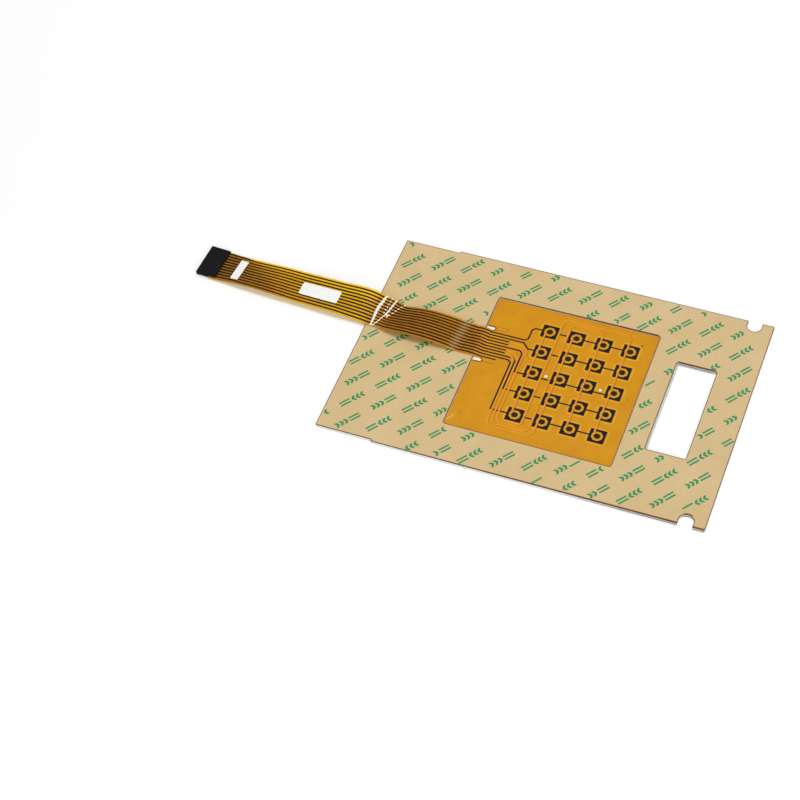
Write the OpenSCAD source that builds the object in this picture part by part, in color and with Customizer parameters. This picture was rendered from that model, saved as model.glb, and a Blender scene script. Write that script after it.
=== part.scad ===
// Membrane keypad panel, lying face down with its flexible tail laid out behind it.
// The origin is the middle of the printed front face. +Z points out of the adhesive back,
// +Y points along the panel to the display window, and the tail leaves towards -Y.

/* [Panel] */
// Width of the panel
panel_w = 179; // [170:1:200]
// Length of the panel
panel_l = 267; // [255:1:290]
// Radius of the panel's corners
panel_corner_r = 0.8; // [0.4:0.1:2]
// Length of the narrower end, which slides into a frame
narrow_end_l = 40; // [25:1:55]
// How far each long side steps in at the narrower end
narrow_end_step = 1.5; // [0.5:0.1:4]
// Width of the screw notch in each long side
notch_w = 10; // [6:0.5:14]
// Depth of the screw notch
notch_depth = 8.5; // [7.5:0.5:16]
// Distance of the notches' middle from the window end
notch_inset = 13.2; // [10:0.2:18]

/* [Display window] */
// Width of the opening in the printed overlay
window_w = 75.5; // [60:0.5:90]
// Height of the opening in the printed overlay
window_l = 24.8; // [16:0.2:28]
// Distance of the window's middle from the window end
window_inset = 40.5; // [36:0.5:44]
// Ledge of overlay at the window's short sides, inside the wider opening behind it
window_ledge = 0.9; // [0.6:0.1:2]
// Ledge of overlay at the window's long sides
window_side_ledge = 1.4; // [0.6:0.1:2]
// Radius of the window's corners
window_corner_r = 1; // [0.5:0.1:2]
// Thickness of the clear pane that is bonded to the ledge
pane_t = 0.25; // [0.1:0.05:0.5]
// Gap between the pane and the opening that it lies in
pane_clearance = 0.1; // [0.05:0.05:0.3]

/* [Layers] */
// Thickness of the printed overlay film
overlay_t = 0.25; // [0.15:0.05:0.5]
// Thickness of the ink in the overlay's front
ink_t = 0.05; // [0.02:0.01:0.1]
// Thickness of the adhesive between overlay and plate
overlay_adhesive_t = 0.1; // [0.05:0.05:0.2]
// Thickness of the rigid backing plate
plate_t = 0.9; // [0.8:0.05:2]
// Thickness of the mounting adhesive on the back
rear_adhesive_t = 0.4; // [0.1:0.05:0.6]
// Thickness of the paper release liner
liner_t = 0.15; // [0.1:0.05:0.3]

/* [Keys] */
// Distance between the middles of neighbouring keys
key_pitch = 19.05; // [17.5:0.05:20]
// Outer size of a key's printed border
key_size = 16.4; // [14:0.1:17]
// Outer corner radius of a key's border
key_corner_r = 2.8; // [1.6:0.1:4]
// Width of a key's border
key_border = 1.4; // [0.6:0.1:1.5]
// Place of the key block's middle along the panel
key_block_y = 18; // [14:0.5:22]

/* [Circuit film] */
// Width of the circuit film
circuit_w = 116.4; // [110:0.2:124]
// Length of the circuit film without its tail
circuit_l = 115.2; // [112:0.2:122]
// Place of the circuit's middle across the panel
circuit_x = 1.4; // [-2:0.1:3]
// Place of the circuit's middle along the panel
circuit_y = 4.5; // [3:0.1:7]
// Radius of the circuit's corners
circuit_corner_r = 1.2; // [0.8:0.1:4]
// Gap between the circuit and the cut-out that it lies in
circuit_clearance = 0.3; // [0.2:0.1:1]
// Thickness of the circuit film
film_t = 0.2; // [0.1:0.05:0.25]
// Diameter of the two locating holes
locating_hole_d = 2.2; // [1.6:0.1:3]

/* [Contacts and traces] */
// Size of a key's square outer contact
contact_size = 11.2; // [10:0.1:12]
// Width across the flats of the octagon inside the outer contact
contact_opening = 7.6; // [7:0.1:8.4]
// Diameter of the round contact in a key's middle
contact_dot_d = 4.4; // [3.8:0.1:4.8]
// Width of the link from the round contact to its row trace
contact_link_w = 1; // [0.6:0.1:1.4]
// Thickness of contacts and traces on the film
conductor_t = 0.05; // [0.02:0.01:0.08]
// Width of the column traces
column_trace_w = 1.1; // [0.6:0.1:1.3]
// Width of the row traces
row_trace_w = 0.75; // [0.4:0.05:0.9]
// Gap that a column trace leaves on each side of a row trace
trace_gap = 0.25; // [0.1:0.05:0.3]
// Distance of a row trace below the middle of its contacts
row_trace_drop = 2.65; // [2.5:0.05:2.9]
// Distance between traces that run side by side
trace_pitch = 2.5; // [2.3:0.05:2.7]
// Sideways step of the middle column's trace, past the locating holes
column_jog = 2.9; // [2.6:0.1:3.2]

/* [Snap domes] */
// Diameter of a dome
dome_d = 10; // [8:0.1:10.5]
// Height of a dome
dome_h = 0.5; // [0.3:0.05:0.5]
// Thickness of a dome's sheet metal
dome_t = 0.1; // [0.05:0.01:0.15]
// Width of the flat foot round a dome's rim
dome_foot = 0.5; // [0.3:0.1:0.8]
// Gap round a dome in the spacer
dome_clearance = 0.5; // [0.2:0.1:0.8]
// Room between the top of a dome and the overlay
dome_headroom = 0.1; // [0.05:0.05:0.2]
// Width of the air channels between domes
vent_w = 1; // [0.6:0.1:2]

/* [Tail] */
// Place of the tail's middle across the panel
tail_x = -14.5; // [-18:0.5:-12]
// Width of the tail
tail_w = 27; // [25:0.2:28]
// Distance between the traces of the tail, and between the connector's ways
tail_pitch = 2.54; // [2.3:0.01:2.6]
// Width of the relief slots beside the tail's root
slot_w = 2.3; // [1.5:0.1:3]
// Length of the relief slots
slot_l = 5.9; // [4:0.1:7]
// Width of the traces on the tail
tail_trace_w = 1.1; // [0.6:0.05:1.2]
// Length of the tail's traces on the circuit film, up to their plated ends
lead_l = 19.1; // [17:0.1:20]
// Thickness of the paper labels on the tail
label_t = 0.1; // [0.05:0.05:0.2]
// Length and width of the label along the tail
long_label = [29.4, 10.6];
// Length and width of the label across the tail
short_label = [5.9, 19];
// Corner radius of the labels
label_corner_r = 1; // [0.3:0.1:2]

/* [Connector] */
// Thickness of the housing's end walls
housing_end_t = 0.5; // [0.4:0.1:2]
// Length of the connector housing
housing_l = 15; // [14:0.5:20]
// Height of the connector housing
housing_h = 3; // [3:0.1:4]
// Bevel along the housing's upper and lower edges
housing_bevel = 0.3; // [0.1:0.05:0.4]
// Size of the square spring box of a terminal
terminal_box = 1.8; // [1.4:0.1:1.9]
// Length of the spring box of a terminal
terminal_box_l = 7; // [5:0.5:7.5]
// Thickness of a terminal's sheet metal
terminal_t = 0.2; // [0.15:0.05:0.3]
// Length of a terminal's tongue on the film
terminal_tongue_l = 4.5; // [3:0.5:5]
// Gap round a terminal in the housing
terminal_clearance = 0.1; // [0.05:0.05:0.15]
// Thickness of the housing's front wall, in which the pin openings are
housing_front_t = 0.8; // [0.6:0.1:1.2]
// Size of the square pin openings
pin_opening = 1; // [0.7:0.05:1.2]

/* [Hidden] */
$fn = 48;
columns = 5;
rows = 4;
// Columns of the coloured action keys and of the split function keys
action_column = 0;
split_column = 1;
tail_ways = 10;
// Steps of a quarter round in an outline
arc_steps = 5;
// Extra depth of a cut, so that it passes the face it opens
cut_over = 1;

// Heights of the layers above the front face
overlay_top = overlay_t;
plate_bottom = overlay_top + overlay_adhesive_t;
plate_top = plate_bottom + plate_t;
liner_bottom = plate_top + rear_adhesive_t;
spacer_t = dome_h + dome_headroom;
film_bottom = overlay_top + spacer_t;
film_top = film_bottom + film_t;
film_middle = film_bottom + film_t / 2;

// Places that several pieces share
window_y = panel_l / 2 - window_inset;
circuit_end_y = circuit_y - circuit_l / 2;
tail_root_y = circuit_end_y + slot_l - slot_w / 2;
lead_end_y = circuit_end_y + lead_l;
spare_end_y = lead_end_y - 4;
contact_half = contact_size / 2;

// Route of the tail's middle, from the circuit film over the liner and down to the connector
tail_route = [
    [tail_x, tail_root_y, film_middle],
    [-14.5, -49, 0.95],
    [-14.5, -50.5, 1.35],
    [-14.5, -53, 2.1],
    [-14.5, -57, 2.3],
    [-14.5, -63, 2.3],
    [-14.5, -67, 2.7],
    [-14.5, -75, 4.4],
    [-14.5, -85, 5.6],
    [-14.5, -95, 6],
    [-14.6, -105, 5.3],
    [-15, -112, 4.1],
    [-16, -118, 3.4],
    [-17.4, -124, 3.4],
    [-17.7, -130, 4.2],
    [-18.2, -138, 5.4],
    [-18.6, -146, 5.7],
    [-19.2, -156, 5.4],
    [-20.1, -173, 4.75],
    [-21, -190, 4.1],
    [-21.7, -202, 4.1],
    [-22.4, -215, 3.7],
    [-23.2, -230, 2.8],
    [-23.9, -243, 1.8],
    [-24.2, -248.5, 1.5],
    [-24.4, -252.5, 1.5],
    [-24.55, -255.5, 1.5]
];
tail_last = len(tail_route) - 1;
// Points of the route between which the tail is straight and carries a label
long_label_points = [17, 19];
short_label_points = [22, 23];

// Places in the connector are measured from the tail's end, with +Y back along the tail. The tail reaches
// tail_grip into the housing, whose middle lies beside the tail's middle
tail_end = tail_route[tail_last];
tail_grip = 5.5;
housing_x = -0.7;
housing_back_y = tail_grip;
housing_front_y = housing_back_y - housing_l;
terminal_chamber = terminal_box + 2 * terminal_clearance;
housing_w = (tail_ways - 1) * tail_pitch + terminal_chamber + 2 * housing_end_t;
chamber_front_y = housing_front_y + housing_front_t;
terminal_front_y = chamber_front_y + terminal_clearance;
terminal_back_y = terminal_front_y + terminal_box_l;
terminal_bottom = tail_end[2] - terminal_box / 2;
tongue_front_y = terminal_back_y - terminal_box / 2;
tongue_bottom = tail_end[2] + film_t / 2 + conductor_t;

function key_x(column) = (column - (columns - 1) / 2) * key_pitch;
function key_y(row) = key_block_y + ((rows - 1) / 2 - row) * key_pitch;
// Distance of a way from the middle of the tail or of the connector
function way_offset(way) = (way - (tail_ways + 1) / 2) * tail_pitch;
function lead_x(way) = tail_x + way_offset(way);
function way_x(way) = housing_x + way_offset(way);
function unit(v) = v / norm(v);
function turned(v) = [-v[1], v[0]];
function reversed(list) = [for (i = [len(list) - 1 : -1 : 0]) list[i]];

// Points of a quarter round about a centre, from a start angle
function quarter(centre, r, start) = [
    for (i = [0 : arc_steps])
        let (angle = start + 90 * i / arc_steps)
        centre + r * [cos(angle), sin(angle)]
];

// Outline of a rectangle with round corners, about its middle
function rounded(w, l, r) = concat(
    quarter([w / 2 - r, l / 2 - r], r, 0),
    quarter([r - w / 2, l / 2 - r], r, 90),
    quarter([r - w / 2, r - l / 2], r, 180),
    quarter([w / 2 - r, r - l / 2], r, 270)
);

// One side of a trace of width w along a path, with mitred corners
function trace_side(path, w) = [
    for (i = [0 : len(path) - 1])
        let (
            before = unit(i > 0 ? path[i] - path[i - 1] : path[1] - path[0]),
            after = unit(i < len(path) - 1 ? path[i + 1] - path[i] : before),
            mitre = unit(turned(before) + turned(after))
        )
        path[i] + mitre * w / 2 / (mitre * turned(before))
];

module trace(path, w) {
    polygon(concat(trace_side(path, w), reversed(trace_side(path, -w))));
}

module layer(bottom, thickness) {
    translate([0, 0, bottom])
        linear_extrude(thickness)
            children();
}

// Outline of the whole panel: a narrower end, and a screw notch in each long side
module panel_outline() {
    wide_x = panel_w / 2;
    narrow_x = wide_x - narrow_end_step;
    end_y = panel_l / 2;
    step_y = narrow_end_l - end_y;
    r = panel_corner_r;
    notch_y = end_y - notch_inset;
    notch_centre_x = wide_x - notch_depth + notch_w / 2;
    difference() {
        polygon(concat(
            quarter([wide_x - r, end_y - r], r, 0),
            quarter([r - wide_x, end_y - r], r, 90),
            [[-wide_x, step_y], [-narrow_x, step_y]],
            quarter([r - narrow_x, r - end_y], r, 180),
            quarter([narrow_x - r, r - end_y], r, 270),
            [[narrow_x, step_y], [wide_x, step_y]]
        ));
        for (side = [-1, 1]) {
            translate([side * notch_centre_x, notch_y])
                circle(d = notch_w);
            translate([side * (notch_centre_x + wide_x) / 2, notch_y])
                square([wide_x - notch_centre_x + 2 * cut_over, notch_w], center = true);
        }
    }
}

// Window opening, larger by one margin at its short sides and another at its long sides
module window_opening(end_margin, side_margin) {
    translate([0, window_y])
        polygon(rounded(window_w + 2 * end_margin, window_l + 2 * side_margin, window_corner_r));
}

// Outline of the circuit film without its tail, wider by a margin all round
module circuit_area(margin) {
    translate([circuit_x, circuit_y])
        polygon(rounded(circuit_w + 2 * margin, circuit_l + 2 * margin, circuit_corner_r + margin));
}

// Panel layer behind the overlay, open at the window and over the circuit
module framed_outline() {
    difference() {
        panel_outline();
        window_opening(window_ledge, window_side_ledge);
        circuit_area(circuit_clearance);
    }
}

module at_key(column, row) {
    translate([key_x(column), key_y(row)])
        children();
}

module each_key() {
    for (column = [0 : columns - 1])
        for (row = [0 : rows - 1])
            at_key(column, row)
                children();
}

// Field of a key inside its border
module key_field() {
    inner = key_size - 2 * key_border;
    polygon(rounded(inner, inner, key_corner_r - key_border));
}

// Grey half of a split key's field
module split_field() {
    half = key_size / 2;
    intersection() {
        key_field();
        polygon([[half, half], [-half, half], [half, -half]]);
    }
}

// Black ink: every border, half of each split function key and two whole fields
module black_print() {
    difference() {
        each_key()
            polygon(rounded(key_size, key_size, key_corner_r));
        for (column = [0 : columns - 1])
            for (row = [0 : rows - 1])
                at_key(column, row)
                    if (column == split_column)
                        split_field();
                    else if (column != action_column || row < 2)
                        key_field();
    }
}

module graphic_overlay() {
    color("#B2BABD")
        difference() {
            layer(0, overlay_t)
                difference() {
                    panel_outline();
                    window_opening(0, 0);
                }
            layer(-cut_over, cut_over + ink_t) {
                black_print();
                for (row = [0, 1])
                    at_key(action_column, row)
                        key_field();
            }
        }
}

module key_borders() {
    color("#17171A")
        layer(0, ink_t)
            black_print();
}

module green_key_field() {
    color("#15904F")
        layer(0, ink_t)
            at_key(action_column, 0)
                key_field();
}

module red_key_field() {
    color("#D81F22")
        layer(0, ink_t)
            at_key(action_column, 1)
                key_field();
}

module display_window() {
    color("#E6EEF2", 0.4)
        layer(overlay_top, pane_t)
            window_opening(window_ledge - pane_clearance, window_side_ledge - pane_clearance);
}

module overlay_adhesive() {
    color("#4A4C4E")
        layer(overlay_top, overlay_adhesive_t)
            framed_outline();
}

module backing_plate() {
    color("#D4D8DB")
        layer(plate_bottom, plate_t)
            framed_outline();
}

module rear_adhesive() {
    color("#6E5028")
        layer(plate_top, rear_adhesive_t)
            framed_outline();
}

module release_liner() {
    color("#D2B480")
        layer(liner_bottom, liner_t)
            framed_outline();
}

// White sheet that holds the domes, with a pocket for each and air channels along the rows
module dome_spacer() {
    color("#F2F2EF")
        layer(overlay_top, spacer_t)
            difference() {
                circuit_area(0);
                each_key()
                    circle(d = dome_d + 2 * dome_clearance);
                for (row = [0 : rows - 1])
                    translate([0, key_y(row)])
                        square([(columns - 1) * key_pitch, vent_w], center = true);
            }
}

// Domed spring disc, whose foot lies on the circuit and whose crown faces the key
module snap_dome(column, row) {
    foot_r = dome_d / 2 - dome_foot;
    crown = dome_h - dome_t;
    steps = 5;
    inside = [for (i = [0 : steps]) let (r = foot_r * (1 - i / steps)) [r, crown * (pow(r / foot_r, 2) - 1)]];
    outside = [for (point = inside) point - [0, dome_t]];
    color("#C8CCD0")
        translate([key_x(column), key_y(row), film_bottom])
            rotate_extrude()
                polygon(concat([[dome_d / 2, 0]], inside, reversed(outside), [[dome_d / 2, -dome_t]]));
}

// Polyimide film with the gap that its tail stands in, the relief slots and two locating holes
module flex_circuit() {
    slot_x = (tail_w + slot_w) / 2;
    color("#CF8F1B")
        layer(film_bottom, film_t)
            difference() {
                circuit_area(0);
                translate([tail_x - slot_x - slot_w / 2, circuit_end_y - cut_over])
                    square([2 * slot_x + slot_w, tail_root_y - circuit_end_y + cut_over]);
                for (side = [-1, 1]) {
                    translate([tail_x + side * slot_x, tail_root_y])
                        circle(d = slot_w);
                    translate([0, key_block_y + side * key_pitch])
                        circle(d = locating_hole_d);
                }
            }
}

// Level below the last row at which a trace turns towards the tail
function turn_y(level) = key_y(rows - 1) - contact_half - 6.5 - level * trace_pitch;
column_chamfer = 2;
// A row trace runs between two column traces
row_level = -0.5;

// Traces of the five columns, from the top contact to the tail's root
function column_path(column) =
    let (
        x = key_x(column) + (column == 2 ? column_jog : 0),
        way = [1, 2, 5, 8, 9][column],
        lead = lead_x(way),
        start = [x, key_y(0)],
        finish = [lead, tail_root_y],
        c = column_chamfer
    )
    column == 0 ? [
        start,
        [x, turn_y(0) + c],
        [x + c, turn_y(0)],
        [lead - c, turn_y(0)],
        [lead, turn_y(0) - c],
        finish
    ] :
    column == 1 ? [
        start,
        [x, turn_y(-1)],
        [lead, turn_y(-1) - (x - lead)],
        finish
    ] : [
        start,
        [x, turn_y(column - 2)],
        [lead + c, turn_y(column - 2)],
        [lead, turn_y(column - 2) - c],
        finish
    ];

// Places of the row traces' loops beside the contacts, counted outwards
function loop_x(place) = key_x(columns - 1) + contact_half + 3.2 + place * trace_pitch;
loop_chamfer = 3;
lead_chamfer = 4;
// Distance of a returning row trace from the contacts beside it
return_gap = 0.85;

// Last stretch of a row trace: down beside the contacts and back to its lead
function row_finish(place, level, way) =
    let (x = loop_x(place), y = turn_y(level + row_level), lead = lead_x(way))
    [
        [x, y + loop_chamfer],
        [x - loop_chamfer, y],
        [lead + lead_chamfer, y],
        [lead, y - lead_chamfer],
        [lead, lead_end_y]
    ];

// A row that starts at the last column, loops round the first one and returns below another row
function looped_row(row, place, return_y, finish_place, level, way) =
    let (
        y = key_y(row) - row_trace_drop,
        left = -loop_x(place),
        right = loop_x(finish_place),
        c = loop_chamfer
    )
    concat(
        [
            [key_x(columns - 1), y],
            [left + c, y],
            [left, y - c],
            [left, return_y + c],
            [left + c, return_y],
            [right - c, return_y],
            [right, return_y - c]
        ],
        row_finish(finish_place, level, way)
    );

row_path_0 = looped_row(0, 2, key_y(3) + contact_half + return_gap, 0, 0, 4);
row_path_1 = looped_row(1, 1, key_y(2) - contact_half - return_gap, 1, 1, 6);
third_row_y = key_y(2) - row_trace_drop;
row_path_2 = concat(
    [
        [key_x(0), third_row_y],
        [loop_x(2) - loop_chamfer, third_row_y],
        [loop_x(2), third_row_y - loop_chamfer]
    ],
    row_finish(2, 2, 7)
);
last_row_y = key_y(3) - row_trace_drop;
row_path_3 = [[key_x(0), last_row_y], [key_x(columns - 1), last_row_y]];
branch_x = (key_x(1) + key_x(2)) / 2;
branch_y = turn_y(-1);
row_branch_3 = [
    [branch_x, last_row_y],
    [branch_x, branch_y + loop_chamfer],
    [branch_x - loop_chamfer, branch_y],
    [lead_x(3) + lead_chamfer, branch_y],
    [lead_x(3), branch_y - lead_chamfer],
    [lead_x(3), lead_end_y]
];

// Row traces, wider by a margin on each side
module row_outline(margin) {
    for (path = [row_path_0, row_path_1, row_path_2, row_path_3, row_branch_3])
        trace(path, row_trace_w + 2 * margin);
}

module octagon(across) {
    rotate(22.5)
        circle(d = across / cos(22.5), $fn = 8);
}

// Outer contacts and column traces, parted where a row trace crosses them
module column_contacts() {
    color("#201C19")
        layer(film_top, conductor_t)
            difference() {
                union() {
                    each_key()
                        square(contact_size, center = true);
                    for (column = [0 : columns - 1])
                        trace(column_path(column), column_trace_w);
                    for (way = [3, 4, 6, 7])
                        trace([[lead_x(way), lead_end_y], [lead_x(way), tail_root_y]], column_trace_w);
                    trace([[lead_x(10), spare_end_y], [lead_x(10), tail_root_y]], column_trace_w);
                }
                each_key()
                    octagon(contact_opening);
                row_outline(trace_gap);
            }
}

module row_traces() {
    color("#E89A2C")
        layer(film_top, conductor_t)
            row_outline(0);
}

module centre_contacts() {
    color("#201C19")
        layer(film_top, conductor_t)
            difference() {
                each_key() {
                    circle(d = contact_dot_d);
                    translate([-contact_link_w / 2, -row_trace_drop])
                        square([contact_link_w, row_trace_drop]);
                }
                row_outline(0);
            }
}

// Edges of a trace, as distances across the tail; the traces step sideways into the connector
function way_edges(way, i) =
    let (middle = way_offset(way) + (i > tail_last - 3 ? housing_x : 0))
    [middle - tail_trace_w / 2, middle + tail_trace_w / 2];

// Section of a strip at a point of the route, between a low and a high distance from the film's middle
function strip_ring(i, edges, low, high) =
    let (
        along = unit(tail_route[min(i + 1, tail_last)] - tail_route[max(i - 1, 0)]),
        across = unit(cross([0, 0, 1], along)),
        normal = cross(along, across)
    )
    concat(
        [for (edge = reversed(edges)) tail_route[i] + across * edge + normal * high],
        [for (edge = edges) tail_route[i] + across * edge + normal * low]
    );

// Strip through a list of sections; upper and lower faces are split along the same diagonals
module strip(rings) {
    corners = len(rings[0]);
    last = len(rings) - 1;
    polyhedron(
        points = [for (ring = rings) each ring],
        faces = concat(
            [[for (k = [corners - 1 : -1 : 0]) k]],
            [
                for (i = [0 : last - 1])
                    for (k = [0 : corners - 1])
                        let (
                            a = i * corners + k,
                            b = i * corners + (k + 1) % corners,
                            c = a + corners,
                            d = b + corners
                        )
                        each k < corners / 2 ? [[a, b, d], [a, d, c]] : [[a, b, c], [b, d, c]]
            ],
            [[for (k = [0 : corners - 1]) last * corners + k]]
        )
    );
}

// Flat tail of the circuit film
module flex_tail() {
    color("#D9A11F")
        strip([for (i = [0 : tail_last]) strip_ring(i, [-tail_w / 2, tail_w / 2], -film_t / 2, film_t / 2)]);
}

// Traces on the tail, which meet the connector's terminals
module tail_traces() {
    low = film_t / 2;
    color("#201C19")
        for (way = [1 : tail_ways])
            strip([for (i = [0 : tail_last]) strip_ring(i, way_edges(way, i), low, low + conductor_t)]);
}

// Turn in plan that brings -Y into a direction
function plan_turn(along) = atan2(along[0], -along[1]);

// Places a label's underside on the upper face of a straight stretch of the tail
module on_tail(points) {
    from = tail_route[points[0]];
    to = tail_route[points[1]];
    along = unit(to - from);
    seat_gap = 0.02;
    translate((from + to) / 2)
        rotate([-asin(along[2]), 0, plan_turn(along)])
            layer(film_t / 2 + conductor_t + seat_gap, label_t)
                children();
}

module long_tail_label() {
    color("#F4F3F0")
        on_tail(long_label_points)
            polygon(rounded(long_label[1], long_label[0], label_corner_r));
}

module short_tail_label() {
    color("#F4F3F0")
        on_tail(short_label_points)
            polygon(rounded(short_label[1], short_label[0], label_corner_r / 2));
}

// Places a piece of the connector at the tail's end, in line with the tail
module at_tail_end() {
    translate([tail_end[0], tail_end[1], 0])
        rotate(plan_turn(tail_end - tail_route[tail_last - 1]))
            children();
}

// Housing: bevelled bar with a slot for the film, a chamber for each terminal and pin openings
module connector_housing() {
    b = housing_bevel;
    slot_bottom = tail_end[2] - film_t / 2 - terminal_clearance;
    slot_top = tongue_bottom + terminal_t + terminal_clearance;
    color("#1B1B1D")
        at_tail_end()
            difference() {
                translate([housing_x - housing_w / 2, 0, 0])
                    rotate([90, 0, 90])
                        linear_extrude(housing_w)
                            polygon([
                                [housing_front_y + b, 0],
                                [housing_back_y - b, 0],
                                [housing_back_y, b],
                                [housing_back_y, housing_h - b],
                                [housing_back_y - b, housing_h],
                                [housing_front_y + b, housing_h],
                                [housing_front_y, housing_h - b],
                                [housing_front_y, b]
                            ]);
                translate([housing_x - housing_w / 2 - cut_over, -terminal_clearance, slot_bottom])
                    cube([housing_w + 2 * cut_over, tail_grip + cut_over, slot_top - slot_bottom]);
                for (way = [1 : tail_ways]) {
                    translate([way_x(way), chamber_front_y, tail_end[2]])
                        translate([-terminal_chamber / 2, 0, -terminal_chamber / 2])
                            cube([terminal_chamber, -chamber_front_y, terminal_chamber]);
                    translate([way_x(way), housing_front_y, tail_end[2]])
                        cube([pin_opening, 2 * (housing_front_t + cut_over), pin_opening], center = true);
                }
            }
}

// Folded terminal: a square spring box for the pin, and a tongue that is crimped to the film
module terminal(way) {
    inner = terminal_box - 2 * terminal_t;
    color("#D9C27A")
        at_tail_end()
            translate([way_x(way), 0, 0]) {
                difference() {
                    translate([-terminal_box / 2, terminal_front_y, terminal_bottom])
                        cube([terminal_box, terminal_box_l, terminal_box]);
                    translate([-inner / 2, terminal_front_y - cut_over, terminal_bottom + terminal_t])
                        cube([inner, terminal_box_l + 2 * cut_over, inner]);
                }
                translate([-terminal_box / 2, tongue_front_y, tongue_bottom])
                    cube([terminal_box, terminal_tongue_l - tongue_front_y, terminal_t]);
            }
}

DOME_NODES = [for (i = [1 : rows * columns]) str("snap_dome_", i)];
TERMINAL_NODES = [for (way = [1 : tail_ways]) str("terminal_", way)];

graphic_overlay();
key_borders();
green_key_field();
red_key_field();
display_window();
overlay_adhesive();
backing_plate();
dome_spacer();
flex_circuit();
column_contacts();
row_traces();
centre_contacts();
rear_adhesive();
release_liner();
flex_tail();
tail_traces();
long_tail_label();
short_tail_label();
connector_housing();
for (row = [0 : rows - 1])
    for (column = [0 : columns - 1])
        snap_dome(column, row);
for (way = [1 : tail_ways])
    terminal(way);
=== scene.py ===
# %% [markdown]
# # A membrane keypad, seen from its back
# The keypad lies on its printed face, so the camera sees the tan release liner, the amber circuit film
# and the flat tail. The rigid layers are already solid in the loaded frame, at their real places in
# metres. This lesson gives them their finishes and adds what is too fine or too soft for a solid: the
# sprung tail, its labels, print and lettering.

# %% Load the solid keypad
import math

import bpy
import numpy as np
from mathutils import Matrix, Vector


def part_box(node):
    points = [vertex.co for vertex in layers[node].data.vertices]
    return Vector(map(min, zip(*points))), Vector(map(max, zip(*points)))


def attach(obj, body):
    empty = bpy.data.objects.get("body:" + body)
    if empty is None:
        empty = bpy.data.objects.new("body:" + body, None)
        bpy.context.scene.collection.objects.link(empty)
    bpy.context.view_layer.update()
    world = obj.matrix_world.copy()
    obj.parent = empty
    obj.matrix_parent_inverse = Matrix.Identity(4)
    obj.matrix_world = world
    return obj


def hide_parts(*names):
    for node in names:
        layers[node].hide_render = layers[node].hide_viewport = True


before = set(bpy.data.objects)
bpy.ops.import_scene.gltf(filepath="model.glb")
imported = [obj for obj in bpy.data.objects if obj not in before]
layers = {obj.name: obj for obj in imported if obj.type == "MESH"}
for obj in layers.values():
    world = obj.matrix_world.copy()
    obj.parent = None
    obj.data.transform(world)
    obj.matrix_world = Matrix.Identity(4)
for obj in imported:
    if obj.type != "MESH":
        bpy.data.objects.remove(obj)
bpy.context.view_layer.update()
MM = 0.001

# %% [markdown]
# ## The camera
# The picture was taken from above one long side with a long lens, so the panel's edges stay nearly
# parallel. A camera can be aimed with a constraint, but writing its three axes straight into its matrix
# keeps the measured roll as well.

# %% Set the camera
LENS, SENSOR = 93.9, 36.0
eye = np.array([0.85382, 0.26968, 1.08956])
view_right = np.array([-0.35074, 0.93525, -0.04785])
view_up = np.array([-0.73974, -0.24536, 0.62657])
view_back = np.array([0.57425, 0.25516, 0.7779])


def placing(right, up, back, place):
    """Matrix of an object in rows for Blender: its three axes and its place, each a column."""
    columns = np.eye(4)
    columns[:3, :] = np.stack([right, up, back, place], -1)
    return columns.T.tolist()


camera = bpy.data.objects.new("camera", bpy.data.cameras.new("camera"))
bpy.context.scene.collection.objects.link(camera)
camera.data.lens, camera.data.sensor_width = LENS, SENSOR
camera.data.clip_start, camera.data.clip_end = 0.05, 50
camera.matrix_world = placing(view_right, view_up, view_back, eye)
bpy.context.scene.camera = camera
print("camera at", eye, "with a lens of", LENS, "mm")

# %% [markdown]
# ## Helpers for thin sheets
# Film, paper and ink are all thin sheets. Each is worked out as a grid of points on its upper face and a
# second grid on its lower face. One helper joins the two grids with a rim, so every sheet is a closed
# shell with outward faces.

# %% Join two grids into a closed sheet
def closed_faces(rows, columns):
    """Quads of a closed sheet: the upper grid counter-clockwise, the lower grid reversed, and a rim."""
    index = np.arange(rows * columns).reshape(rows, columns)
    top = np.stack([index[:-1, :-1], index[1:, :-1], index[1:, 1:], index[:-1, 1:]], -1).reshape(-1, 4)
    rim = np.concatenate([index[:-1, 0], index[-1, :-1], index[:0:-1, -1], index[0, :0:-1]])
    under = rim + rows * columns
    sides = np.stack([rim, under, np.roll(under, -1), np.roll(rim, -1)], -1)
    return np.concatenate([top, (top + rows * columns)[:, ::-1], sides])


def add_piece(name, points, faces, slot, uv=None, marks=None):
    """Mesh piece from arrays of points (metres) and faces; uv and marks hold a value for each point."""
    mesh = bpy.data.meshes.new(name)
    mesh.from_pydata(np.asarray(points, float).tolist(), [], [list(f) for f in faces])
    mesh.validate()
    corner = np.empty(len(mesh.loops), np.int32)
    mesh.loops.foreach_get("vertex_index", corner)
    if uv is not None:
        layer = mesh.uv_layers.new(name="along_across")
        layer.data.foreach_set("uv", np.asarray(uv, np.float32)[corner].ravel())
    for key, values in (marks or {}).items():
        mark = mesh.attributes.new(key, "FLOAT", "POINT")
        mark.data.foreach_set("value", np.asarray(values, np.float32).ravel())
    piece = bpy.data.objects.new(name, mesh)
    bpy.context.scene.collection.objects.link(piece)
    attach(piece, "root")
    return piece


def smooth(piece):
    """Shades a curved sheet smoothly."""
    piece.data.shade_smooth()
    return piece


print("a 3 x 4 sheet has", len(closed_faces(3, 4)), "faces")

# %% [markdown]
# ## The route of the tail
# The tail is one strip of polyimide film. It leaves the circuit film between two relief slots, springs up
# over the liner, comes down past the panel's end and lies on the table. A Bezier curve with a flat bevel
# could follow it, but a function of two parameters, distance along and distance across, also lets labels
# and traces sit on the same surface.

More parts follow.
